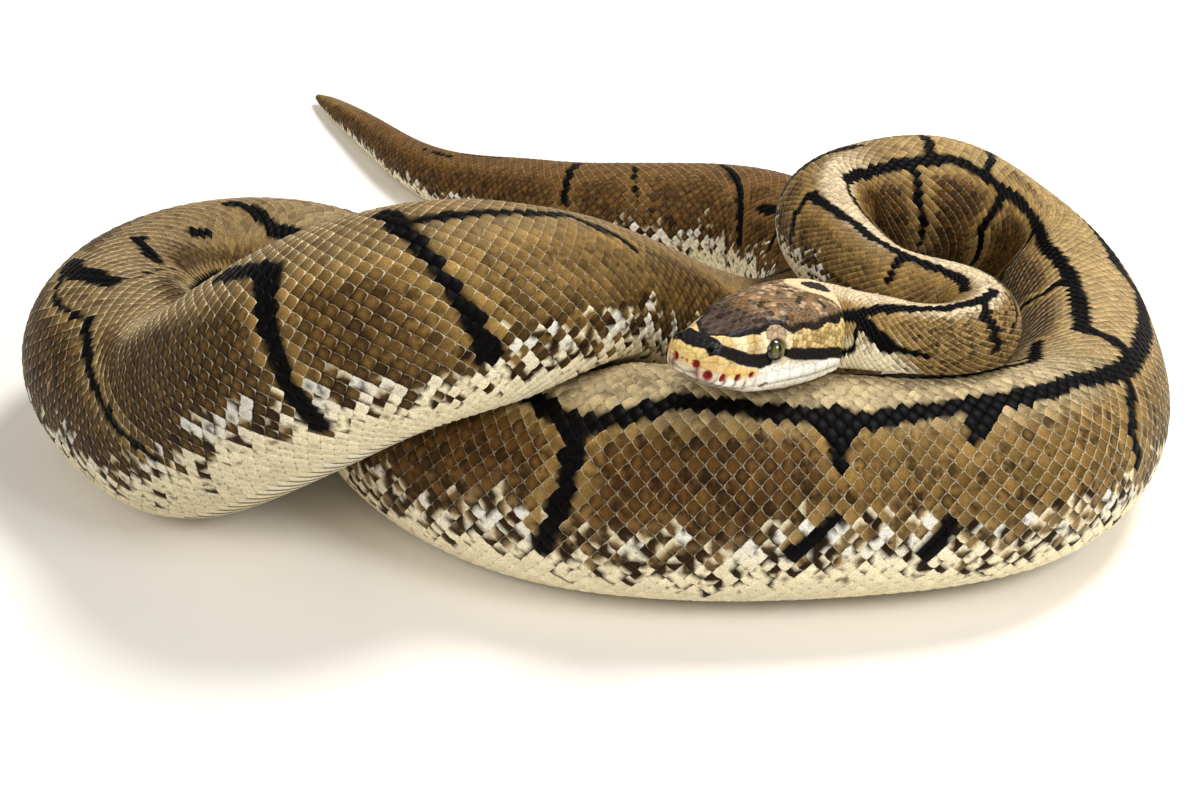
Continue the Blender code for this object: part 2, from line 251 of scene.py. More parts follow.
# how far the rows of scales are turned round the body, in degrees, against distance
ROLL = [(0, 0), (46, 0), (62, -30), (74, -22), (88, -4), (100, 0), (116, 12), (156, 12), (184, 4),
    (209, 14), (240, 12), (275, -8), (329, -8), (354, -5), (409, 3), (569, 0), (649, 0), (709, 5),
    (789, 0), (859, -8), (909, 0), (969, 20), (1059, 22), (1094, 5), (1129, 2), (1232, 0)]
# length of one scale with its gap, against distance
PERIOD = [(44, 2.0), (60, 2.1), (80, 2.5), (150, 2.9), (250, 3.5), (400, 4.1), (480, 4.2), (600, 4.2),
    (760, 4.1), (820, 3.8), (900, 3.8), (1000, 3.6), (1080, 3.1), (1150, 2.4), (1215, 1.5), (1232, 1.2)]
# where the count of scale rows changes, and the counts
ROWS = [(0, 54), (600, 58), (1050, 50), (1105, 46), (1140, 36), (1172, 26), (1196, 18), (1214, 12)]
BEND_SHARE = 0.50           # rows crowd in a bend, so that the scales on its outer side keep their length
VENT = 1108.0               # behind it the small scales go right round
BACK_SPAN = 140.0           # the small scales reach this far round from the back
COAT_START = 50.0           # the head's shields give way to rows of scales here
SKIN_TURNS = 96


def roll_at(s):
    """How far the rows of scales are turned round the body, in degrees."""
    return even(ROLL, s)


def period_at(s):
    """Length of one scale with its gap."""
    return even(PERIOD, s)


def course_at(route, s):
    """Length of one scale along the centre line, which is shorter in a bend."""
    bend = np.interp(s, route.s, route.girth * route.turn)
    return period_at(s) / (1 + BEND_SHARE * bend)


def inset_at(s):
    """How deep the skin lies under the CAD surface: the scales fill this depth."""
    deep = 0.10 + 0.12 * period_at(s)
    return deep + 0.9 * np.clip((56 - s) / 8, 0, 1)


class Surface:
    """The outside of the snake as a fine grid, blended to give any place and its outward direction."""

    TURNS = 144

    def __init__(self, route):
        tip = SNOUT_CAP * (1 - np.cos(np.linspace(0.12, math.pi / 2, 12)))
        head = np.arange(SNOUT_CAP + 0.5, HEAD_END, 0.6)
        rest = np.arange(HEAD_END, route.length - 1.0, 1.6)
        self.places = np.concatenate([tip, head, rest, [route.length - 0.6]])
        self.points = np.array([ring_at(route, s, self.TURNS)[1] for s in self.places])
        self.normals = outward(self.points)
        self.route = route

    def girth_at(self, s):
        """Half-width of the body."""
        return np.interp(s, self.route.s, self.route.girth)

    def at(self, s, angle, lift):
        """Points at distance s and angle, in degrees, raised by lift from the surface."""
        row = np.interp(s, self.places, np.arange(len(self.places)))
        low = np.clip(row.astype(int), 0, len(self.places) - 2)
        along = (row - low)[..., None]
        column = (angle / 360.0 * self.TURNS) % self.TURNS
        left = column.astype(int) % self.TURNS
        across = (column - np.floor(column))[..., None]
        right = (left + 1) % self.TURNS

        def blended(grid):
            front = grid[low, left] * (1 - across) + grid[low, right] * across
            back = grid[low + 1, left] * (1 - across) + grid[low + 1, right] * across
            return front * (1 - along) + back * along

        normal = blended(self.normals)
        normal /= np.linalg.norm(normal, axis=-1, keepdims=True)
        point = blended(self.points) + normal * np.asarray(lift)[..., None]
        point[..., 2] = np.maximum(point[..., 2], FLOOR_GAP)
        return point


def outward(points):
    """Outward directions of a grid of rings."""
    along = np.gradient(points, axis=0)
    around = np.roll(points, -1, axis=1) - np.roll(points, 1, axis=1)
    normal = np.cross(around, along)
    normal /= np.linalg.norm(normal, axis=2, keepdims=True) + 1e-12
    middle = points.mean(axis=1, keepdims=True)
    side = np.sign(((points - middle) * normal).sum(axis=(1, 2)))
    normal *= side[:, None, None]
    for _ in range(2):
        normal = normal + 0.5 * (np.roll(normal, 1, axis=1) + np.roll(normal, -1, axis=1))
        normal /= np.linalg.norm(normal, axis=2, keepdims=True) + 1e-12
    return normal


# ---------------------------------------------------------------- meshes


def linear(rgb):
    """A colour named in 0 to 255 display values, as light."""
    value = np.asarray(rgb, float) / 255
    return np.where(value <= 0.04045, value / 12.92, ((value + 0.055) / 1.055) ** 2.4)


def placed(name, data):
    """A new object in the scene."""
    thing = bpy.data.objects.new(name, data)
    bpy.context.scene.collection.objects.link(thing)
    return thing


def make_piece(name, verts, faces, colours, uvs, material):
    """A mesh from arrays: faces is a list of arrays of triangles or quads, uvs one pair for each vertex."""
    mesh = bpy.data.meshes.new(name)
    corners = np.concatenate([f.reshape(-1) for f in faces]).astype(np.int32)
    sizes = np.concatenate([np.full(len(f), f.shape[1]) for f in faces]).astype(np.int32)
    mesh.vertices.add(len(verts))
    mesh.vertices.foreach_set("co", (np.asarray(verts) * MM).astype(np.float32).ravel())
    mesh.loops.add(len(corners))
    mesh.loops.foreach_set("vertex_index", corners)
    mesh.polygons.add(len(sizes))
    starts = np.concatenate([[0], np.cumsum(sizes)[:-1]]).astype(np.int32)
    mesh.polygons.foreach_set("loop_start", starts)
    mesh.polygons.foreach_set("loop_total", sizes)
    mesh.update(calc_edges=True)
    attribute = mesh.color_attributes.new("markings", 'FLOAT_COLOR', 'POINT')
    full = np.concatenate([np.clip(colours, 0, 1), np.ones((len(verts), 1))], axis=1)
    attribute.data.foreach_set("color", full.astype(np.float32).ravel())
    unwrap = mesh.uv_layers.new(name="OFBake")
    flat = np.asarray(uvs, float)[corners]
    across = np.repeat(starts, sizes)
    wrapped = (flat[across, 1] - flat[:, 1] > 0.5) & (flat[:, 1] < 0.5)
    flat[wrapped, 1] += 1.0
    wrapped = (flat[:, 1] - flat[across, 1] > 0.5)
    flat[wrapped, 1] -= 1.0
    unwrap.data.foreach_set("uv", flat.astype(np.float32).ravel())
    mesh.shade_smooth()
    mesh.materials.append(material)
    mesh.validate()
    piece = placed(name, mesh)
    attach(piece, "root")
    return piece


def strip_quads(first, width):
    """Quads from each ring to the next: first is where each ring starts, width its count of points."""
    column = np.arange(width)
    after = (column + 1) % width
    first = first[:, None]
    corners = [first + column, first + width + column, first + width + after, first + after]
    return np.stack(corners, axis=-1).reshape(-1, 4)


def tube_faces(rings, turns):
    """Quads joining rings of a closed tube, and a fan over each end, whose hubs follow the rings."""
    column = np.arange(turns)
    after = (column + 1) % turns
    last = (rings - 1) * turns
    front = np.stack([np.full(turns, rings * turns), column, after], axis=1)
    back = np.stack([np.full(turns, rings * turns + 1), last + after, last + column], axis=1)
    return [strip_quads(np.arange(rings - 1) * turns, turns), np.concatenate([front, back])]


def make_tube(name, points, colours, uvs, hub_uvs, material):
    """A closed tube from rings of points, with a hub at the middle of each end ring."""
    hubs = np.stack([points[0].mean(axis=0), points[-1].mean(axis=0)])
    verts = np.concatenate([points.reshape(-1, 3), hubs])
    colours = np.concatenate([colours, colours[:1], colours[-1:]])
    uvs = np.concatenate([uvs, hub_uvs])
    return make_piece(name, verts, tube_faces(*points.shape[:2]), colours, uvs, material)


def on_map(distance, span):
    """Place of a distance on the baking map, inside its border."""
    return 0.01 + 0.98 * distance / span


# ---------------------------------------------------------------- materials


def new_material(name):
    """A material with its nodes, its links and its shader."""
    material = bpy.data.materials.new(name)
    material.use_nodes = True
    tree = material.node_tree
    return material, tree.nodes, tree.links, tree.nodes["Principled BSDF"]


def settle(node, **values):
    """Set a node's sockets: a name's underscores stand for the spaces in the socket's name."""
    for socket, value in values.items():
        node.inputs[socket.replace("_", " ")].default_value = value


def scale_material(name, roughness, specular, grain, depth):
    """Scales or skin: the markings, with fine speckle, uneven gloss and a fine grain."""
    material, nodes, links, shader = new_material(name)
    settle(shader, Specular_IOR_Level=specular)
    markings = nodes.new("ShaderNodeAttribute")
    markings.attribute_name = "markings"
    where = nodes.new("ShaderNodeTexCoord")
    speckle = nodes.new("ShaderNodeTexNoise")
    settle(speckle, Scale=grain, Detail=4.0, Roughness=0.65)
    strength = nodes.new("ShaderNodeMapRange")
    settle(strength, From_Min=0.3, From_Max=0.7, To_Min=0.62, To_Max=1.32)
    tinted = nodes.new("ShaderNodeVectorMath")
    tinted.operation = 'SCALE'
    gloss = nodes.new("ShaderNodeMapRange")
    settle(gloss, To_Min=roughness - 0.10, To_Max=roughness + 0.14)
    grainy = nodes.new("ShaderNodeBump")
    settle(grainy, Strength=0.35, Distance=depth)
    for source, result, node, socket in (
            (where, "Object", speckle, "Vector"),
            (speckle, "Fac", strength, "Value"),
            (markings, "Color", tinted, 0),
            (strength, "Result", tinted, "Scale"),
            (tinted, "Vector", shader, "Base Color"),
            (speckle, "Fac", gloss, "Value"),
            (gloss, "Result", shader, "Roughness"),
            (speckle, "Fac", grainy, "Height"),
            (grainy, "Normal", shader, "Normal")):
        links.new(source.outputs[result], node.inputs[socket])
    return material


# ---------------------------------------------------------------- markings

TAN = linear((190, 170, 130))
SAND = linear((170, 142, 92))
OLIVE = linear((124, 97, 56))
GOLD = linear((146, 116, 64))
BROWN = linear((86, 56, 22))
DARK = linear((34, 20, 8))
CREAM = linear((241, 229, 194))
WHITE = linear((246, 243, 230))
BLACK = linear((3, 2, 2))
PINK = linear((220, 198, 162))
TAIL_BROWN = linear((106, 72, 34))
JET_SHINE = linear((92, 96, 108))

# how dark the middle of the flank is, against distance
FLANK_DEPTH = [(58, 0.1), (66, 0.25), (80, 0.35), (110, 0.35), (200, 0.7), (345, 0.65), (375, 0.35),
    (420, 0.35), (450, 0.95), (560, 1.0), (760, 1.0), (795, 0.7), (835, 0.3), (900, 0.8)]

# the black net: half-width at the start and at the end, and the places it goes through, in round numbers
WEB = [
    # the front length
    (2.9, 2.9, [(355, -30), (375, -15), (400, -15), (430, -25), (470, -15), (490, -35), (510, -15),
                (530, -15), (550, -30), (575, -20), (625, -20)]),
    (4.0, 1.2, [(400, -20), (405, -40)]),
    (5.4, 1.0, [(435, -25), (435, -50)]),
    (2.6, 2.1, [(490, -35), (490, -65), (495, -100)]),
    (1.6, 2.9, [(435, -75), (445, -95)]),
    (1.4, 2.6, [(410, -80), (415, -100)]),
    (1.7, 1.5, [(360, -35), (370, -60), (370, -80)]),
    # the right-hand bend
    (1.9, 2.6, [(180, 25), (190, 35), (215, 30), (230, 55), (245, 50), (265, 25), (300, 10), (340, 5),
                (345, -25)]),
    (3.0, 3.2, [(265, -45), (285, -40), (295, -55), (310, -50), (330, -40), (355, -30)]),
    (1.7, 1.3, [(210, 30), (215, -25)]),
    (1.3, 1.0, [(225, 40), (235, -10)]),
    (1.5, 0.9, [(205, 30), (205, 70), (210, 125)]),
    (1.8, 1.0, [(230, 55), (225, 95), (235, 130)]),
    (1.5, 0.9, [(250, 40), (255, 60), (255, 95)]),
    (2.1, 1.0, [(300, 10), (305, 35), (300, 85)]),
    (2.3, 1.8, [(195, -15), (185, -40), (180, -65)]),
    (1.3, 0.9, [(215, -25), (210, -90)]),
    (1.3, 0.9, [(235, -10), (235, -90)]),
    (1.5, 0.9, [(265, -45), (265, -100)]),
    # the neck's return
    (1.7, 1.5, [(170, -20), (150, 5), (130, 10), (115, -10), (100, -25)]),
    (0.9, 0.8, [(180, 25), (155, 40), (120, 35), (105, 35), (100, 50)]),
    (1.4, 0.9, [(170, -20), (165, -50), (160, -85)]),
    (1.2, 0.8, [(125, 0), (125, -50)]),
    # the neck
    (1.0, 0.9, [(50, 95), (60, 80), (60, 45)]),
    (1.9, 1.5, [(48, 50), (60, 35), (65, 20), (75, 0), (88, -5), (98, 15)]),
    (1.9, 2.4, [(60, 35), (65, 50), (70, 65)]),
    (1.4, 0.5, [(70, 65), (80, 80)]),
    (0.5, 0.6, [(90, 80), (100, 50)]),
    (1.5, 0.9, [(93, 5), (90, 30), (90, 85)]),
    # the left-hand bend
    (1.4, 1.2, [(705, 30), (690, 40), (685, 35)]),
    (3.2, 2.7, [(680, 35), (695, 5)]),
    (0.9, 0.7, [(695, 5), (695, -10), (680, -30)]),
    (2.1, 2.0, [(670, 0), (680, -20)]),
    (2.3, 2.0, [(655, -15), (650, -20)]),
    (2.2, 2.2, [(640, 10), (625, -20)]),
    (1.8, 1.3, [(705, 30), (730, 60), (745, 100)]),
    (2.9, 3.0, [(775, 10), (790, 20), (790, 30)]),
    (2.4, 1.6, [(790, 30), (790, 75)]),
    (1.6, 2.4, [(790, 75), (790, 110)]),
    (2.5, 1.1, [(810, -10), (815, 40)]),
    (1.1, 2.5, [(815, 40), (820, 90)]),
    (1.9, 1.4, [(815, 5), (845, 5), (860, 35)]),
    # the tail
    (1.5, 1.0, [(1090, 10), (1085, -55)]),
    (0.9, 0.7, [(1070, 5), (1065, -45)]),
    (1.2, 1.6, [(1045, 15), (1020, -70)]),
    (0.9, 1.3, [(1010, 5), (1000, -60)]),
    (0.8, 0.6, [(1120, 10), (1135, 10)]),
    (0.7, 0.5, [(1140, -10), (1155, -5)]),
]

# lengths whose far or covered side gets a net of the same kind: start, end, which side, and the
# angle of its line
UNSEEN = [(345, 620, 1, 25), (630, 720, -1, 52), (850, 1020, -1, 30), (915, 1000, 1, 30),
    (1000, 1090, 1, 25)]


def unseen_web():
    """The net on the sides that nothing shows: a wavering line along the back with bars down from it."""
    chance = np.random.default_rng(41)
    strokes = []
    for start, end, side, height in UNSEEN:
        places = np.arange(start, end, 13.0)
        heights = height + 8 * np.sin(places / 23.0) + chance.uniform(-5, 5, len(places))
        strokes.append((2.0, 2.0, [(s, side * h) for s, h in zip(places, heights)]))
        s = start + 22.0
        while s < end - 15:
            lean = chance.uniform(-7, 7)
            reach = chance.uniform(82, 104)
            top = np.interp(s, places, heights)
            middle = (s + lean * 0.3, side * (top + reach) / 2)
            strokes.append((2.5, 1.5, [(s, side * top), middle, (s + lean, side * reach)]))
            s += chance.uniform(42, 80)
    return strokes


def web_distance(strokes, girth_of, s, angle):
    """Distance in millimetres outside the black net, negative inside it."""
    nearest = np.full(s.shape, 99.0)
    around = np.radians(1.0) * girth_of(s)
    for first, last, places in strokes:
        places = np.asarray(places, float)
        reach = np.nonzero((s > places[:, 0].min() - 30) & (s < places[:, 0].max() + 30))[0]
        if not len(reach):
            continue
        here = s[reach]
        turn = angle[reach]
        scale = around[reach]
        count = len(places) - 1
        for k in range(count):
            (s0, a0), (s1, a1) = places[k], places[k + 1]
            dx = here - s0
            dy = ((turn - a0 + 180) % 360 - 180) * scale
            ex = s1 - s0
            ey = (a1 - a0) * scale
            share = np.clip((dx * ex + dy * ey) / (ex * ex + ey * ey + 1e-9), 0, 1)
            wide = first + (last - first) * (k + share) / count
            gap = np.hypot(dx - share * ex, dy - share * ey) - wide
            nearest[reach] = np.minimum(nearest[reach], gap)
    return nearest


def mixed(a, b, share):
    """Colour a turned towards colour b by a share for each place."""
    return a + (b - a) * np.asarray(share)[..., None]


def step(low, high, value):
    """0 at low and 1 at high, smooth between, and clipped beyond."""
    share = np.clip((value - low) / (high - low), 0, 1)
    return share * share * (3 - 2 * share)


def body_markings(s, angle, gap, dice):
    """Looks of each place or scale, from its distance, angle, distance outside the net, and dice.

    They are its colour, how strong the painted highlight on its rear tip is, how dark its specks
    are, whether it has a dark stain (grime) or a pale one (dab), whether it is pale, how dark the
    flank is there, and whether it lies where pale and dark scales mingle.
    """
    turn = np.abs((angle - roll_at(s) + 180) % 360 - 180)
    uneven = 4 * np.sin(s / 11.0) + 4 * np.sin(s / 4.7 + 1.0) + 16 * (dice[:, 0] - 0.5)

    # stretches of the body, each from 0 to 1
    inner = step(172, 198, s) * (1 - step(325, 350, s)) * step(10, 35, angle)
    neck = 1 - step(92, 104, s)
    nook = step(72, 80, s) * (1 - step(100, 112, s)) * step(0, 20, angle)
    loop = 16 * step(640, 670, s) * (1 - step(735, 780, s))
    front = step(345, 390, s) * (1 - step(575, 640, s))
    tail = step(890, 1010, s)
    shadow = 1 - 0.14 * step(640, 680, s) * (1 - step(775, 830, s))

    # how far down the side the place counts as lying, and how dark the flank is there
    low = turn + uneven - 8 - 56 * inner - 12 * neck - 48 * nook
    flank = step(26 - loop, 48 - loop, turn) * step(0.4, 5.2, gap) * even(FLANK_DEPTH, s)
    flank = np.clip(0.95 * flank + 0.8 * inner * step(1.5, 7, gap), 0, 1)

    # the back, then the sides, then the pale line along the neck
    colour = mixed(OLIVE, TAN, 0.15 + 0.85 * front)
    colour = mixed(colour, SAND, step(190, 215, s) * (1 - step(335, 375, s)))
    colour = mixed(colour, GOLD, step(16, 40, turn))
    colour = mixed(colour, BROWN, flank)
    colour = mixed(colour, DARK, 0.22 * flank * step(640, 680, s) * (1 - step(880, 960, s)))
    colour = mixed(colour, TAIL_BROWN, 0.8 * tail * (1 - step(1180, 1225, s)))
    ridge = np.interp(s, (50, 80, 100, 108, 130, 160), (-6, -4, 14, 8, 24, 14))
    stripe = step(34, 38, s) * (1 - step(184, 200, s)) * step(30, 10, np.abs(angle - ridge))
    colour = mixed(colour, PINK, stripe)
    colour = colour * ((0.78 - 0.12 * flank + (0.40 + 0.3 * flank) * dice[:, 1]) * shadow)[:, None]
    colour = mixed(colour, 0.9 * CREAM, neck * step(52, 92, low))
    colour = mixed(colour, mixed(GOLD, CREAM, 0.2), 0.5 * front * step(62, 92, low))
    bruise = (dice[:, 4] < 0.55) * step(58, 82, low) * (1 - front) * (1 - neck) * (1 - tail) * (gap > 0)
    colour = mixed(colour, DARK, 0.7 * bruise)

    # the stretch above the belly where pale and dark scales mingle
    zone = step(68, 84, low) * (1 - step(100, 120, low)) * (1 - neck) * (gap > 0)
    grime = dice[:, 2] < (0.5 + 0.3 * front) * zone
    pale = dice[:, 3] < step(72 + 14 * neck, 108 - 10 * neck, low)
    dab = (dice[:, 6] < (0.45 + 0.35 * front) * zone) & ~pale
    cream = mixed(0.82 * WHITE, CREAM, step(88, 112, turn))
    cream = cream * ((0.88 + 0.14 * dice[:, 1]) * shadow)[:, None]
    colour = np.where(pale[:, None], cream, colour)

    # painted highlight: a white rear tip on darker scales, mostly on the flank, less on the neck, the tail
    # and inside the right-hand bend
    tip_highlight = 0.10 + 0.8 * step(40, 70, turn) * np.clip(1.8 * dice[:, 5] - 0.7, 0, 1)
    tip_highlight = np.where(pale, 0.0, tip_highlight * (1 - 0.7 * neck) * (1 - 0.6 * tail) * (1 - 0.6 * inner))
    specks = (0.26 + 0.7 * flank + 0.4 * nook + 0.12 * front) * (0.3 + 1.3 * dice[:, 6])
    speckle = np.where(pale, 0.0, np.clip(specks, 0, 0.9))
    return SimpleNamespace(colour=colour, tip_highlight=tip_highlight, speckle=speckle, grime=grime, dab=dab, pale=pale,
                           flank=flank, mingled=zone > 0.3)


# ---------------------------------------------------------------- the small scales

# a scale seen flat: its corners, how squarely it bulges, and the reach of its rings
SCALE_SIDES = 8
SCALE_POWER = 1.5
SCALE_RINGS = (0.83, 1.0, 0.93)
SCALE_RISE = np.array([0.118, 0.090, 0.028, -0.02])    # height of the middle and each ring, in its lengths
SCALE_TILT = 0.036          # how much its rear stands up, in the same measure
MOST_SCALES = 4000          # scales in one piece, which keeps it under the limit of triangles
NET_EDGE = 4.5              # scales within this distance of the net's edge are coloured corner by corner
# painted shade: the skirt under each scale's edge is darkened, standing for the shade in the gaps between
# scales
SKIRT_PAINTED_SHADE = 0.12          # the ring under a scale's edge is this much of its colour


def scale_plan(route):
    """Centres of the small scales: distance, angle and half-width in degrees."""
    fine = np.arange(COAT_START - 2, 1231.0, 0.25)
    courses = np.concatenate([[0], np.cumsum(0.25 * 2 / course_at(route, fine[:-1]))])
    number = int(courses[-1])
    places = np.interp(np.arange(number), courses, fine)
    starts = np.array([r[0] for r in ROWS])
    counts = np.array([r[1] for r in ROWS])
    found = []
    for k, s in enumerate(places):
        rows = counts[np.searchsorted(starts, s, side="right") - 1]
        whole = s > VENT
        span = 180.0 if whole else BACK_SPAN
        across = rows // 2
        pitch = 2 * span / across
        turn = -span + (np.arange(across + (0 if whole else 1)) + 0.5 * (k % 2)) * pitch
        turn = turn[turn <= span + 0.1]
        found.append(np.stack([np.full(len(turn), s), turn, np.full(len(turn), pitch / 2)], axis=1))
    return np.concatenate(found)


def scale_template():
    """One scale seen flat: x towards the tail, y across, ring 0 the middle, and its faces."""
    spread = np.arange(SCALE_SIDES) * 2 * math.pi / SCALE_SIDES
    bulge = np.abs(np.cos(spread)) ** SCALE_POWER + np.abs(np.sin(spread)) ** SCALE_POWER
    radius = bulge ** (-1 / SCALE_POWER)
    x = [0.0]
    y = [0.0]
    ring = [0]
    for k, share in enumerate(SCALE_RINGS):
        x.extend(share * radius * np.cos(spread))
        y.extend(share * radius * np.sin(spread))
        ring.extend([k + 1] * SCALE_SIDES)
    column = np.arange(SCALE_SIDES)
    after = (column + 1) % SCALE_SIDES
    fan = np.stack([np.zeros(SCALE_SIDES, int), 1 + column, 1 + after], axis=1)
    low = 1 + 2 * SCALE_SIDES
    under = np.stack([np.full(SCALE_SIDES - 2, low), low + column[2:], low + column[1:-1]], axis=1)
    quads = strip_quads(1 + SCALE_SIDES * np.arange(2), SCALE_SIDES)
    return np.array(x), np.array(y), np.array(ring), np.concatenate([fan, under]), quads


def black_share(strokes, surface, s, angle, gap, dice):
    """How black each corner of each scale is, from the scale's own distance outside the net."""
    corner_gap = np.full(s.shape, 99.0)
    close = np.abs(gap) < NET_EDGE
    around = (angle[close] + 180) % 360 - 180
    near = web_distance(strokes, surface.girth_at, s[close].ravel(), around.ravel())
    whole = 0.5 * gap + 0.8 * (dice[:, 4] - 0.5)
    corner_gap[close] = 0.5 * near.reshape(-1, s.shape[1]) + whole[close][:, None]
    corner_gap[gap <= -NET_EDGE] = -4
    return 1 - step(-0.25, 0.25, corner_gap)


def scale_shades(marks, dice, spots, s0):
    """Colour of each corner of each scale, before the black net is laid over."""
    x, y, ring = scale_template()[:3]
    face = ring <= 1
    rim = ring == 2
    pale = marks.pale
    shade = np.broadcast_to(marks.colour[:, None, :], spots.shape + (3,))

    # specks, a lighter rear, and stains on one side or another
    shade = mixed(shade, DARK, marks.speckle[:, None] * face * (spots < 0.5))
    graded = 0.88 + (0.30 + 0.08 * marks.flank[:, None]) * x * (ring < 3)
    shade = shade * np.where(pale[:, None], 1.0, graded)[..., None]
    shade = mixed(shade, DARK * 1.6, (pale & marks.mingled)[:, None] * face * (spots < 0.10) * 0.8)
    lean = dice[:, 7, None] * 2 * math.pi
    side_of = x * np.cos(lean) + y * np.sin(lean)
    grimy = marks.grime[:, None] & (side_of > 1.3 * dice[:, 1, None] - 0.45)
    shade = np.where(grimy[..., None], DARK * 1.2, shade)
    dabbed = marks.dab[:, None] & (side_of < 0.7 * dice[:, 1, None] - 0.7)
    shade = np.where(dabbed[..., None], CREAM * 0.95, shade)

    # a dark ring within dark scales, then the fair rim, which is duller at a dark scale's front and sides
    bead = step(0.2, 0.6, marks.flank) * (0.35 + 0.65 * step(600, 650, s0))
    fair_edge = mixed(GOLD, CREAM, 0.85) * (0.9 + 0.3 * dice[:, 1, None])
    side_edge = mixed(fair_edge, DARK, bead)
    rear_rim = np.where(pale, 0.1, np.where(dice[:, 5] < 0.55, 0.98, 0.70) - 0.48 * bead)
    side_rim = np.where(pale, 0.08, 0.55)
    dim = np.where(pale, 0.0, 0.55 * bead * (0.5 + 0.7 * dice[:, 4]))
    shade = mixed(shade, mixed(GOLD, BROWN, 0.3), 0.6 * (bead * dice[:, 2])[:, None] * (ring == 0))
    shade = mixed(shade, DARK, dim[:, None] * (ring == 1))
    shade = mixed(shade, fair_edge[:, None, :], rim * (x > 0.3) * rear_rim[:, None])
    shade = mixed(shade, side_edge[:, None, :], rim * (x <= 0.3) * side_rim[:, None])
    # painted highlight on the rear tip of the rim and skirt
    shade = mixed(shade, mixed(CREAM, WHITE, 0.5), marks.tip_highlight[:, None] * rear_tip(x, y, ring))
    # painted shade on the skirt under each scale's edge
    return shade * np.where(ring == 3, SKIRT_PAINTED_SHADE, 1.0)[None, :, None]


def rear_tip(x, y, ring):
    """The corners at the rear of a scale's rim and skirt."""
    return (x > 0.8) & (np.abs(y) < 0.3) & (ring > 1)


def scale_arrays(route, surface, strokes, plan):
    """Points, colours and angles of the small scales, from their plan."""
    chance = np.random.default_rng(7)
    s0, turn0, half = plan.T
    dice = chance.random((len(plan), DICE))
    angle0 = (turn0 + roll_at(s0) + 180) % 360 - 180
    gap = web_distance(strokes, surface.girth_at, s0, angle0)
    marks = body_markings(s0, angle0, gap, dice)
    x, y, ring = scale_template()[:3]
    grow = (1 + 0.05 * (dice[:, 7] - 0.5))[:, None]
    s = s0[:, None] + 0.49 * course_at(route, s0)[:, None] * grow * x
    angle = turn0[:, None] + 0.98 * half[:, None] * grow * y + roll_at(s)
    raised = SCALE_RISE[ring] + SCALE_TILT * x * (ring < 3)
    height = period_at(s0)[:, None] * raised * (1 + 0.16 * (dice[:, 6, None] - 0.5))
    points = surface.at(s, angle, height - inset_at(s))
    ink = black_share(strokes, surface, s, angle, gap, dice)
    spots = chance.random(s.shape)
    shade = scale_shades(marks, dice, spots, s0)
    jet = BLACK * (0.8 + 0.5 * dice[:, 1])[:, None]
    jet = np.broadcast_to(jet[:, None, :], shade.shape)
    # painted highlight: the black scales' rims and rear tips lean a little towards bluish grey
    jet = mixed(jet, JET_SHINE, 0.02 * (ring == 2) + 0.2 * rear_tip(x, y, ring) * dice[:, 5, None])
    return points, mixed(shade, jet, ink), angle0


def build_scales(route, surface, strokes, material):
    """The small scales, in pieces that follow one another down the body."""
    plan = scale_plan(route)
    points, shade, angle0 = scale_arrays(route, surface, strokes, plan)
    x, y, ring, triangles, quads = scale_template()
    parts = int(math.ceil(len(plan) / MOST_SCALES))
    edges = np.linspace(0, len(plan), parts + 1).astype(int)
    for k in range(parts):
        part = slice(edges[k], edges[k + 1])
        s0 = plan[part, 0]
        offset = (np.arange(len(s0)) * len(ring))[:, None, None]
        faces = [(triangles + offset).reshape(-1, 3), (quads + offset).reshape(-1, 4)]
        u = on_map(s0 - s0.min(), s0.max() - s0.min())
        v = on_map(angle0[part] + 180, 360)
        patch = np.stack([u[:, None] + PATCH_HALF * x, v[:, None] + PATCH_HALF * y], axis=2)
        piece = make_piece("scales_%d" % (k + 1), points[part].reshape(-1, 3), faces,
                           shade[part].reshape(-1, 3), patch.reshape(-1, 2), material)


# ---------------------------------------------------------------- the wide belly scales

# one belly scale cut along its middle: place as a share of its length, and height in its lengths
SCUTE_PROFILE = [(-0.62, -0.06), (-0.30, 0.01), (0.30, 0.075), (0.52, 0.085), (0.58, 0.055), (0.52, 0.02),
                 (-0.62, -0.085)]
SCUTE_COLUMNS = 25


def scute_faces(count):
    """Faces of one belly scale: quads round its profile of count points, and a fan over each end."""
    ends = []
    for base in (0, (SCUTE_COLUMNS - 1) * count):
        for j in range(1, count - 1):
            ends.append((base, base + j, base + j + 1) if base else (base, base + j + 1, base + j))
    quads = strip_quads(np.arange(SCUTE_COLUMNS - 1) * count, count)
    return quads[:, ::-1], np.array(ends)[:, ::-1]


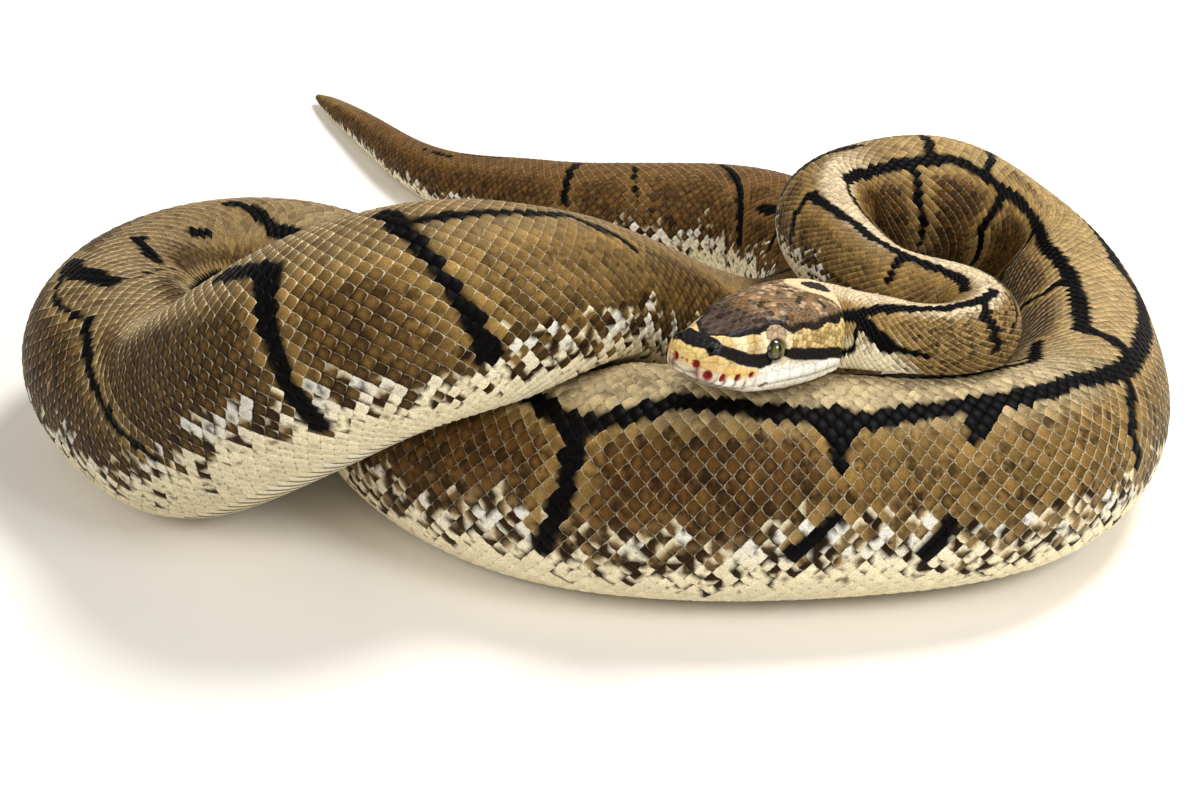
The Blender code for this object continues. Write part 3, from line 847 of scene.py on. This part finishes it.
def build_scutes(route, surface, material):
    """The wide belly scales, one after another from the neck to the vent."""
    chance = np.random.default_rng(19)
    fine = np.arange(COAT_START, VENT, 0.25)
    courses = np.concatenate([[0], np.cumsum(0.25 / course_at(route, fine[:-1]))])
    places = np.interp(np.arange(int(courses[-1])), courses, fine)
    across = np.linspace(-1, 1, SCUTE_COLUMNS)[:, None]
    along, rise = np.array(SCUTE_PROFILE).T[:, None, :]
    count = along.size
    verts = []
    shades = []
    maps = []
    for s0 in places:
        s = s0 + float(course_at(route, s0)) * along * (1 - 0.3 * np.abs(across) ** 6)
        turn = 180 + across * (180 - BACK_SPAN + 2.5)
        height = float(period_at(s0)) * rise * (1 - 0.45 * np.abs(across) ** 8)
        verts.append(surface.at(s, turn + roll_at(s), height - inset_at(s)).reshape(-1, 3))
        tone = mixed(CREAM, WHITE, chance.uniform(0, 0.6)) * chance.uniform(0.9, 1.0)
        colour = np.broadcast_to(tone, s.shape + (3,)).copy()
        # painted shade: each belly scale's front, tucked under the one before, and the underside of its
        # rear lip are darker, its rear edge a little darker
        colour[:, [0, 5, 6]] *= 0.62
        colour[:, 4] *= 0.8
        shades.append(colour.reshape(-1, 3))
        u = on_map(s0 - places[0], places[-1] - places[0])
        patch = np.broadcast_arrays(u + PATCH_HALF * along, 0.5 + 0.24 * across)
        maps.append(np.stack(patch, axis=2).reshape(-1, 2))
    offset = (np.arange(len(places)) * count * SCUTE_COLUMNS)[:, None, None]
    faces = [(f + offset).reshape(-1, f.shape[1]) for f in scute_faces(count)]
    piece = make_piece("belly_scales", np.concatenate(verts), faces, np.concatenate(shades),
                       np.concatenate(maps), material)


# ---------------------------------------------------------------- the skin


def build_skin(surface, route, strokes, material):
    """The darker skin between the scales, which stands in for every CAD solid but the eyes."""
    tip = SNOUT_CAP * (1 - np.cos(np.linspace(1.0, math.pi / 2, 5)))
    head = np.arange(SNOUT_CAP + 0.8, 60, 0.8)
    body = np.arange(60, route.length - 2, 1.8)
    places = np.concatenate([tip, head, body, [route.length - 1.0]])
    angles = np.arange(SKIN_TURNS) * 360.0 / SKIN_TURNS
    s, angle = np.meshgrid(places, angles, indexing="ij")
    depth = inset_at(s) + 1.2 * (1 - step(20, 50, s))
    points = surface.at(s, angle, -depth)
    s = s.ravel()
    angle = angle.ravel()
    around = (angle + 180) % 360 - 180
    gap = web_distance(strokes, surface.girth_at, s, around)
    marks = body_markings(s, around, gap, np.full((len(s), DICE), 0.5))
    turn = np.abs((around - roll_at(s) + 180) % 360 - 180)
    # a weaker painted highlight on the skin, from the scales' rear tips
    colour = mixed(marks.colour, WHITE, 0.4 * marks.tip_highlight)
    colour = colour * (0.42 + 0.3 * step(92, 112, turn))[:, None]
    colour = mixed(colour, BLACK, 1 - step(-0.3, 0.3, gap))
    uvs = np.stack([on_map(s, route.length), angle / 360.0], axis=1)
    piece = make_tube("skin", points, colour, uvs, [[0.005, 0.5], [0.995, 0.5]], material)
    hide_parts("head", "lower_jaw", "neck", "trunk_1_right_bend", "trunk_2_front",
                "trunk_3_left_bend", "trunk_4_over_front", "trunk_5_under_neck", "trunk_6_back", "tail")


# ---------------------------------------------------------------- the head's shields

HEAD_COAT_END = 56.0
HEAD_TURNS = 330
HEAD_FINE = 720             # points in a ring before they are spaced evenly
BLOCK = 4000                # places worked on at once when each finds its shield, which saves memory
# heights of features on the head's side: distance behind the tip, and height above the axis
LORE_STRIPE = [(2.2, 4.0), (4.6, 3.6), (9, 2.0), (13, 0.5), (17, 0.0), (19, 0.6)]
BACK_STRIPE = [(23.6, 1.9), (28, 1.3), (36, 0.3), (46, -0.3), (53, 0.0), (58, 1.0)]
THROAT_LOOP = [(56, -0.2), (58.5, 2.4), (58.8, 5.0)]
CANTHUS_RIDGE = [(6, 5.0), (10, 6.2), (14, 7.3), (17, 7.8)]
BROW_RIDGE = [(17, 8.0), (20.8, 8.4), (25.5, 8.0)]
LORE_HOLLOW = [(7, 2.6), (15, 1.4)]
# heat pits: distance behind the tip, out from the middle, height, and radius
PITS = [(0.3, 0.8, -0.5, 0.45), (0.6, 3.1, -0.7, 1.15), (2.0, 6.1, -2.9, 1.40), (5.9, 8.1, -3.6, 1.20),
    (10.7, 9.0, -3.9, 1.05), (15.1, 9.7, -3.5, 0.90)]
NOSTRIL = (2.6, 4.9, 3.3, 0.75)
# angle from the top at which the dark crown ends, and the width of the pale wedge behind it
CROWN_EDGE = [(4.6, 2), (6.3, 10), (10, 32), (14, 46), (17, 51), (20, 47), (23, 54), (27, 64), (37, 62),
    (46, 56), (52, 49), (58, 44)]
NAPE_WEDGE = [(38, 0), (41, 12), (45, 26), (49, 36), (54, 42), (58, 44)]
EYE_POINT = np.array([EYE_BEHIND_TIP, 10.9, EYE_HEIGHT])


def side_angle(x, height):
    """Section angle at which the head's side has this height above its axis."""
    turn = np.radians(np.arange(4.0, 177.0, 1.0))
    rise = section(np.full(len(turn), float(x)), turn)[1]
    return float(np.interp(-height, -rise, turn))


def side_point(x, height):
    """Place on the head's side, in the head's own frame."""
    out, rise = section(np.array([float(x)]), np.array([side_angle(x, height)]))
    return np.array([x, out[0], rise[0]])


def mouth_at(x):
    """Height of the mouth line above the head's axis."""
    return even(MOUTH_LINE, np.asarray(x, float))


def shield_spacing(x):
    """Spacing of the fine shields, in millimetres."""
    return float(np.interp(x, (2, 5, 8, 15, 24, 32, 44, 56), (1.9, 2.2, 2.4, 2.2, 1.7, 1.55, 1.5, 1.7)))


def row_of_shields(x, start, end, spacing, shifted):
    """Places across one side of the head between two section angles, evenly spaced."""
    turn = np.linspace(start, end, 120)
    out, rise = section(np.full(120, float(x)), turn)
    length = np.concatenate([[0], np.cumsum(np.hypot(np.diff(out), np.diff(rise)))])
    at = np.arange(0.5 * spacing if shifted else 0.0, length[-1], spacing)
    return [np.array([x, np.interp(k, length, out), np.interp(k, length, rise)]) for k in at]


def head_shields():
    """Middles of the shields in the head's own frame, each with a weight that widens it."""
    chance = np.random.default_rng(5)
    found = [(0.25, 0.0, -1.4, 1.5)]

    def both(point, weight):
        sway = chance.uniform(-0.16, 0.16, 3)
        for side in (1, -1):
            if side < 0 and abs(point[1]) < 0.3:
                continue
            place = point + sway * (0.6 + 0.4 * side)
            found.append((place[0], side * place[1], place[2], weight))

    x = 2.2
    while x < 47:
        both(side_point(x, float(mouth_at(x)) + 2.0), 1.3)
        x += 3.1 + 0.018 * x
    x = 1.3
    while x < 47:
        both(side_point(x, float(mouth_at(x)) - 1.5), 0.9)
        x += 2.6 + 0.014 * x
    for turn in np.arange(10) * 36.0:
        lean = math.radians(turn)
        both(side_point(EYE_BEHIND_TIP + 3.7 * math.cos(lean), EYE_HEIGHT + 3.7 * math.sin(lean)), 0.3)
    x = 2.4
    shifted = False
    while x < HEAD_COAT_END + 2:
        spacing = shield_spacing(x)
        low = side_angle(x, float(mouth_at(x)) + 4.6) if x < 45 else math.radians(150)
        for place in row_of_shields(x, 0, low, spacing, shifted):
            if np.linalg.norm(place - EYE_POINT) > 4.7:
                both(place, 0.4)
        high = side_angle(x, float(mouth_at(x)) - 3.4) if x < 45 else math.radians(152)
        for place in row_of_shields(x, high + 0.05, math.pi, spacing * 1.15, shifted):
            both(place, 0.4)
        x += 0.86 * spacing
        shifted = not shifted
    return np.array(found)


def nearest_shield(points, shields):
    """The shield each point belongs to, and its distance inside that shield's edge."""
    owner = np.zeros(len(points), int)
    edge = np.zeros(len(points))
    seeds, weight = shields[:, :3], shields[:, 3]
    for start in range(0, len(points), BLOCK):
        block = points[start:start + BLOCK]
        power = ((block[:, None] - seeds[None]) ** 2).sum(2) - weight ** 2
        order = np.argpartition(power, 6, axis=1)[:, :7]
        ranked = np.take_along_axis(power, order, 1)
        sort = np.argsort(ranked, axis=1)
        order = np.take_along_axis(order, sort, 1)
        ranked = np.take_along_axis(ranked, sort, 1)
        own = order[:, 0]
        apart = np.linalg.norm(seeds[order[:, 1:]] - seeds[own][:, None], axis=2)
        gaps = (ranked[:, 1:] - ranked[:, :1]) / (2 * apart + 1e-6)
        owner[start:start + BLOCK] = own
        edge[start:start + BLOCK] = gaps.min(axis=1)
    return owner, edge


def line_gap(places, heights_line):
    """Distance of mirrored head places from a line drawn along the head's side."""
    knots = np.array([side_point(x, h) for x, h in heights_line])
    best = np.full(len(places), 99.0)
    for a, b in zip(knots[:-1], knots[1:]):
        along = b - a
        share = np.clip(((places - a) @ along) / (along @ along), 0, 1)
        best = np.minimum(best, np.linalg.norm(places - a - share[:, None] * along, axis=1))
    return best


def away_from(places, point):
    """Distance of each place from a point."""
    return np.linalg.norm(places - point, axis=1)


def hill(distance, reach):
    """A smooth bump: 1 at no distance, fading with the reach."""
    return np.exp(-(distance / reach) ** 2)


def head_relief(places, edge):
    """How far the shields stand out or sink in, in millimetres, at mirrored head places."""
    x, out, up = places.T
    groove = np.interp(x, (0, 14, 24, 56), (0.08, 0.09, 0.13, 0.17))
    lift = -groove * hill(edge, 0.24) + 0.06 * np.minimum(edge, 1.2)
    gap = up - mouth_at(x)
    jaws = 1 - step(43, 47, x)
    lift -= 0.80 * hill(gap, 0.26) * jaws
    lift -= 0.9 * step(0.1, -0.7, gap) * (1 - step(11, 22, x)) * step(-6.0, -2.5, gap)
    lift += (0.28 * hill(gap - 1.5, 1.1) + 0.18 * hill(gap + 1.3, 1.0)) * jaws
    lift += 0.45 * hill(line_gap(places, CANTHUS_RIDGE), 1.5)
    lift += 0.60 * hill(line_gap(places, BROW_RIDGE), 1.5)
    lift -= 0.55 * hill(line_gap(places, LORE_HOLLOW), 2.0)
    from_eye = np.hypot(x - EYE_BEHIND_TIP, up - EYE_HEIGHT) + 20 * (out < 4)
    lift -= 2.0 * (1 - step(2.35, 3.05, from_eye))
    lift += 0.42 * hill(from_eye - 3.6, 0.65)
    for px, py, pz, radius in PITS:
        from_pit = away_from(places, (px, py, pz))
        lift -= 0.75 * radius * np.exp(-(from_pit / radius) ** 4)
        lift += 0.12 * hill(from_pit - 1.45 * radius, 0.35)
    from_nostril = away_from(places, NOSTRIL[:3])
    lift -= 0.9 * np.exp(-(from_nostril / NOSTRIL[3]) ** 4)
    lift += 0.16 * hill(from_nostril - 1.25, 0.4)
    return lift


def head_markings(places, turn, edge, dice):
    """Colour of each mirrored head place: turn is its angle from the top, dice belong to its shield."""
    x, out, up = places.T
    gap = up - mouth_at(x)

    def laid(under, rgb, share):
        return mixed(under, linear(rgb), np.clip(share, 0, 1))

    # cream lips and chin, and the snout's tan, brown and rust
    colour = laid(linear((240, 234, 214)), (246, 243, 232), step(0.2, 2.0, gap))
    snout = 1 - step(8, 17, x)
    colour = laid(colour, (224, 192, 130), snout * step(2.2, 3.6, gap))
    seams = 0.75 * hill(edge, 0.5) * (1 - step(14, 19, x)) * step(2.9, 2.0, gap)
    colour = laid(colour, (120, 92, 70), seams)
    colour = laid(colour, (232, 196, 116), hill(gap - 4.8, 1.6) * step(4, 7, x) * (1 - step(15, 19, x)))
    colour = laid(colour, (176, 96, 36), 0.85 * hill(away_from(places, (2.6, 5.8, 1.4)), 1.7))
    colour = laid(colour, (224, 196, 120), 0.8 * (1 - step(1.0, 3, x)) * step(-0.6, 0.8, up))
    colour = laid(colour, (206, 186, 158), 0.6 * (1 - step(2.5, 7, x)) * (1 - step(-2.2, -0.6, up)))

    # the gold band between the crown and the dark stripes
    band = step(18, 30, turn) * (1 - step(88, 95, turn)) * step(4.8, 6.5, x)
    gold = laid(linear((234, 218, 178)), (194, 162, 100), 0.5 + 0.45 * np.sin(x * 0.9 + 1.0))
    gold = mixed(gold, linear((216, 190, 128)), step(24, 30, x))
    speckled = (dice[:, 4] < 0.40) & (x > 26)
    gold = mixed(gold, linear((132, 98, 48)), 0.6 * speckled)
    colour = mixed(colour, gold, band * step(3.2, 4.6, gap))
    fair = np.abs(x - 21.3) < 3.0
    colour = laid(colour, (180, 154, 122), fair * step(44, 50, turn) * (1 - step(66, 72, turn)))

    # the dark crown, its shields lighter and darker by chance, painted glints on a few shields, painted
    # highlights along the shields' edges, and the pale wedge at the nape
    edge_turn = even(CROWN_EDGE, x) + 2.5 * np.sin(x * 0.8) + 3 * (dice[:, 0] - 0.5)
    inside = (edge_turn - turn) * np.radians(1.0) * 13.0
    crown = (inside > 0) & (x > 4.6)
    rust = laid(linear((58, 35, 20)), (142, 104, 60), 0.05 + 0.9 * dice[:, 1])
    # painted glints: a few shields, at random, are lightened
    rust = laid(rust, (196, 168, 134), 0.7 * (dice[:, 5] < 0.22) * step(10, 30, x))
    streak = 0.5 + 0.5 * np.sin(out * 1.9 + 0.5 * np.sin(x * 0.5))
    rust = laid(rust, (42, 29, 25), 1 - step(13, 25, x))
    rust = laid(rust, (96, 78, 68), 0.5 * streak * (1 - step(11, 20, x)))
    rust = laid(rust, (36, 24, 18), 0.8 * (dice[:, 2] < 0.26))
    border = np.clip(2.4 - inside / 1.4, 0, 1)
    rust = laid(rust, (16, 11, 12), border)
    shine = 0.45 * hill(edge - 0.2, 0.13) * (dice[:, 3] < 0.7)
    shine = shine * (0.35 + 0.65 * step(14, 24, x)) * (1 - 0.85 * border)
    rust = laid(rust, (196, 168, 130), shine)
    wedge = even(NAPE_WEDGE, x)
    nape = step(0, 4, wedge - turn) * step(39, 41, x)
    rust = laid(rust, (222, 198, 154), nape)
    spot = np.hypot((x - 47.5) / 1.35, out - 0.8) < 2.6
    rust = laid(rust, (44, 32, 34), spot)
    colour = np.where(crown[:, None], rust, colour)

    # the black stripes before and behind the eye, at the throat and over the snout
    lore = line_gap(places, LORE_STRIPE) - np.interp(x, (2, 6, 12, 20), (1.6, 1.7, 1.6, 2.0))
    behind = line_gap(places, BACK_STRIPE) - np.interp(x, (23.6, 28, 50, 58), (0.8, 1.6, 1.5, 0.8))
    throat = line_gap(places, THROAT_LOOP) - 0.8
    over_snout = np.maximum(np.abs(x - 3.8) - 2.2, turn - 60)
    stripes = np.minimum(np.minimum(lore, behind), np.minimum(throat, over_snout))
    ink = 1 - step(-0.15, 0.20, stripes + 0.3 * (dice[:, 5] - 0.5))
    colour = mixed(colour, linear((20, 16, 18)), ink)

    # dark brown patches low on the lip's front; heat pits, with painted shade in their middles; nostrils
    # painted black as shade; a dark patch on the lip below the eye; the dark of the seams; painted shade
    # under the chin and along the mouth
    # dark brown patches low on the front of the lip
    for lip_patch in ((0.7, 3.6, -2.7), (1.9, 5.9, -4.3)):
        colour = laid(colour, (112, 66, 40), 0.85 * hill(away_from(places, lip_patch), 1.25))
    for px, py, pz, radius in PITS:
        from_pit = away_from(places, (px, py, pz))
        colour = laid(colour, (138, 22, 18), 1 - step(0.85 * radius, 1.1 * radius, from_pit))
        # painted shade in the middle of each pit
        colour = laid(colour, (52, 10, 10), 0.8 * (1 - step(0.1, 0.8 * radius, from_pit)))
    from_nostril = away_from(places, NOSTRIL[:3])
    # the nostril painted black, as the shade inside it
    colour = laid(colour, (8, 6, 6), 1 - step(0.6, 0.9, from_nostril))
    # a dark patch on the upper lip below the eye
    lip_mark = np.hypot(x - 20.5, (gap - 0.4) / 0.8) < 1.2
    colour = laid(colour, (92, 70, 52), 0.8 * lip_mark)
    dark = 0.55 * hill(edge, 0.16) * (1 - 0.5 * step(0.3, 0.6, colour.mean(axis=1)))
    # painted shade on the front of the lower jaw, under the upper lip
    chin = 0.6 * step(0.0, -0.8, gap) * (1 - step(10, 20, x)) * step(-5.0, -2.0, gap)
    colour = colour * (1 - chin)[:, None]
    colour = colour * (1 - dark)[:, None]
    # painted shade along the mouth's crease
    colour = colour * (1 - 0.75 * hill(gap, 0.22) * (1 - step(43, 47, x)))[:, None]
    return colour * (0.92 + 0.16 * dice[:, 6])[:, None]


def head_grid(route):
    """Rings round the head, evenly spaced along and around, with each point's place in the head's frame."""
    tip = SNOUT_CAP * (1 - np.cos(np.linspace(0.06, math.pi / 2, 30)))
    places = np.concatenate([tip, np.arange(SNOUT_CAP + 0.25, HEAD_COAT_END, 0.27)])
    points = []
    local = []
    turns = []
    angles = np.linspace(0, 360, HEAD_FINE + 1)
    for s in places:
        centre, _, side, up = route.at(s)
        ring = ring_at(route, s, HEAD_FINE)[1]
        closed = np.vstack([ring, ring[:1]])
        length = np.concatenate([[0], np.cumsum(np.linalg.norm(np.diff(closed, axis=0), axis=1))])
        wanted = np.linspace(0, length[-1], HEAD_TURNS, endpoint=False)
        even_ring = np.stack([np.interp(wanted, length, closed[:, k]) for k in range(3)], axis=1)
        points.append(even_ring)
        off = even_ring - centre
        local.append(np.stack([np.full(HEAD_TURNS, s), off @ side, off @ up], axis=1))
        turns.append(np.interp(wanted, length, angles))
    return places, np.array(points), np.array(local), np.array(turns)


def build_head(route, material):
    """The head's shields: one relief laid over the skin, its grooves along the shields' edges."""
    places, points, local, turns = head_grid(route)
    flat = local.reshape(-1, 3)
    shields = head_shields()
    owner, edge = nearest_shield(flat, shields)
    mirrored = flat.copy()
    mirrored[:, 1] = np.abs(mirrored[:, 1])
    turns = turns.ravel()
    dice = np.random.default_rng(23).random((len(shields), DICE))[owner]
    lift = head_relief(mirrored, edge).reshape(points.shape[:2])
    depth = 0.42 + 0.55 * step(49.5, 54, places)
    depth = depth * np.clip(0.3 + places / 2.5, 0, 1)
    top = points + outward(points) * (lift - depth[:, None])[..., None]
    top[..., 2] = np.maximum(top[..., 2], FLOOR_GAP)
    colour = head_markings(mirrored, np.minimum(turns, 360 - turns), edge, dice)
    u = on_map(places, places[-1])
    uvs = np.stack([np.repeat(u, HEAD_TURNS), turns / 360.0], axis=1)
    piece = make_tube("head_shields", top, colour, uvs, [[0.004, 0.5], [0.996, 0.5]], material)


# ---------------------------------------------------------------- eyes


def eye_material():
    """A wet surface that shows the markings."""
    material, nodes, links, shader = new_material("wet eye")
    markings = nodes.new("ShaderNodeAttribute")
    markings.attribute_name = "markings"
    links.new(markings.outputs["Color"], shader.inputs["Base Color"])
    settle(shader, Roughness=0.04, Specular_IOR_Level=0.4, Coat_Weight=0.5, Coat_Roughness=0.02)
    return material


def build_eyes(route):
    """Each eye is a wet ball: black upright slit, olive and gold iris, dark rim."""
    material = eye_material()
    centre, tangent, side, up = route.at(EYE_BEHIND_TIP)
    chance = np.random.default_rng(3)
    turns, rings = 72, 56
    tilt = np.linspace(0.02, math.pi - 0.02, rings)
    spin = np.arange(turns) * 2 * math.pi / turns
    for name, sign in (("eye_left", -1), ("eye_right", 1)):
        out = side * sign * 0.93 - tangent * 0.28 + up * 0.20
        out /= np.linalg.norm(out)
        high = up - (up @ out) * out
        high /= np.linalg.norm(high)
        wide = np.cross(high, out)
        rim = np.cos(spin)[None, :, None] * wide + np.sin(spin)[None, :, None] * high
        ray = np.cos(tilt)[:, None, None] * out + np.sin(tilt)[:, None, None] * rim
        middle = centre + side * sign * EYE_OUT + up * EYE_HEIGHT
        points = middle + EYE_RADIUS * ray
        across, rise, front = ray @ wide, ray @ high, ray @ out
        slit = np.hypot(across / 0.17, rise / 0.60)
        grain = chance.random(slit.shape)
        dull = 0.6 * grain + 0.4 * step(0.1, 0.6, np.abs(rise))
        iris = mixed(linear((112, 104, 30)), linear((50, 52, 18)), dull)
        colour = mixed(iris, linear((24, 22, 18)), step(0.52, 0.74, np.hypot(across, rise)) + (front < 0))
        colour = mixed(colour, linear((3, 3, 3)), 1 - step(0.9, 1.12, slit))
        hubs = np.stack([points[0].mean(axis=0), points[-1].mean(axis=0)])
        verts = np.concatenate([points.reshape(-1, 3), hubs])
        shade = np.concatenate([np.clip(colour, 0, 1).reshape(-1, 3), colour[0, :1], colour[-1, :1]])
        reach = 0.48 * (tilt[:, None] / math.pi)
        uvs = np.stack([0.5 + reach * np.cos(spin), 0.5 + reach * np.sin(spin)], axis=2)
        uvs = np.concatenate([uvs.reshape(-1, 2), [[0.5, 0.5], [0.98, 0.5]]])
        faces = [f[:, ::-1] for f in tube_faces(rings, turns)]
        piece = make_piece(name + "_ball", verts, faces, shade, uvs, material)
        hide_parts(name)


# ---------------------------------------------------------------- floor, light and camera

FLOOR_REACH = 4.0           # metres from the middle to each side
FLOOR_DROP = 0.0004         # metres, so that the floor and the belly never share a plane
CAMERA_AWAY = 800           # millimetres from the middle of the coil
CAMERA_TILT = 30            # degrees that it looks down
CAMERA_LENS = 92.13         # millimetres, for a sensor 36 wide


def plain(name, rgb, roughness):
    """A material of one colour."""
    material, nodes, links, shader = new_material(name)
    settle(shader, Base_Color=(*linear(rgb), 1), Roughness=roughness)
    return material


def build_stage():
    """A sheet of pale paper for the snake to lie on."""
    mesh = bpy.data.meshes.new("floor")
    square = ((-1, -1), (1, -1), (1, 1), (-1, 1))
    corners = [(FLOOR_REACH * x, FLOOR_REACH * y, -FLOOR_DROP) for x, y in square]
    mesh.from_pydata(corners, [], [(0, 1, 2, 3)])
    mesh.materials.append(plain("pale paper", (244, 240, 234), 0.7))
    floor = placed("floor", mesh)


def lamp(name, place, target, size, power, tint):
    """A round area light, aimed at its target."""
    light = bpy.data.lights.new(name, 'AREA')
    light.shape = 'DISK'
    light.size = size
    light.energy = power
    light.color = tint
    holder = placed(name, light)
    holder.location = place
    aim = Vector(target) - Vector(place)
    holder.rotation_euler = aim.to_track_quat('-Z', 'Y').to_euler()


def build_light():
    """A key light above and behind to one side, two weaker ones in front, and a pale surround."""
    lamp("key", (0.55, 0.35, 1.25), (0, -0.03, 0.03), 0.55, 19.5, (1.0, 0.98, 0.95))
    lamp("fill", (-0.9, -0.9, 0.9), (0, 0, 0.03), 0.9, 6.5, (1.0, 0.98, 0.95))
    lamp("front", (0.80, -0.75, 0.90), (0, -0.05, 0.03), 0.5, 8.0, (1.0, 1.0, 1.0))
    world = bpy.data.worlds.new("studio")
    world.use_nodes = True
    settle(world.node_tree.nodes["Background"], Color=(1.0, 0.975, 0.93, 1), Strength=0.42)
    bpy.context.scene.world = world
    bpy.context.scene.view_settings.view_transform = 'Standard'


def build_camera():
    """The view from the front and above."""
    target = Vector((-COIL_CENTRE[0], -COIL_CENTRE[1], 25)) * MM
    away = CAMERA_AWAY * MM
    tilt = math.radians(CAMERA_TILT)
    camera = bpy.data.cameras.new("camera")
    camera.lens = CAMERA_LENS
    camera.sensor_width = 36
    camera.clip_end = 20
    holder = placed("camera", camera)
    holder.location = target + Vector((0, -away * math.cos(tilt), away * math.sin(tilt)))
    holder.rotation_euler = (math.pi / 2 - tilt, 0, 0)
    bpy.context.scene.camera = holder


# ---------------------------------------------------------------- all of it


def main():
    """Build every piece, then the stage."""
    route = Route()
    surface = Surface(route)
    strokes = WEB + unseen_web()
    body_coat = scale_material("body scales", 0.46, 0.05, 2600.0, 0.00012)
    head_coat = scale_material("head shields", 0.40, 0.12, 3200.0, 0.00005)
    under = scale_material("skin between scales", 0.55, 0.3, 1500.0, 0.0001)
    build_skin(surface, route, strokes, under)
    build_head(route, head_coat)
    build_scales(route, surface, strokes, body_coat)
    build_scutes(route, surface, body_coat)
    build_eyes(route)
    build_stage()
    build_light()
    build_camera()


main()
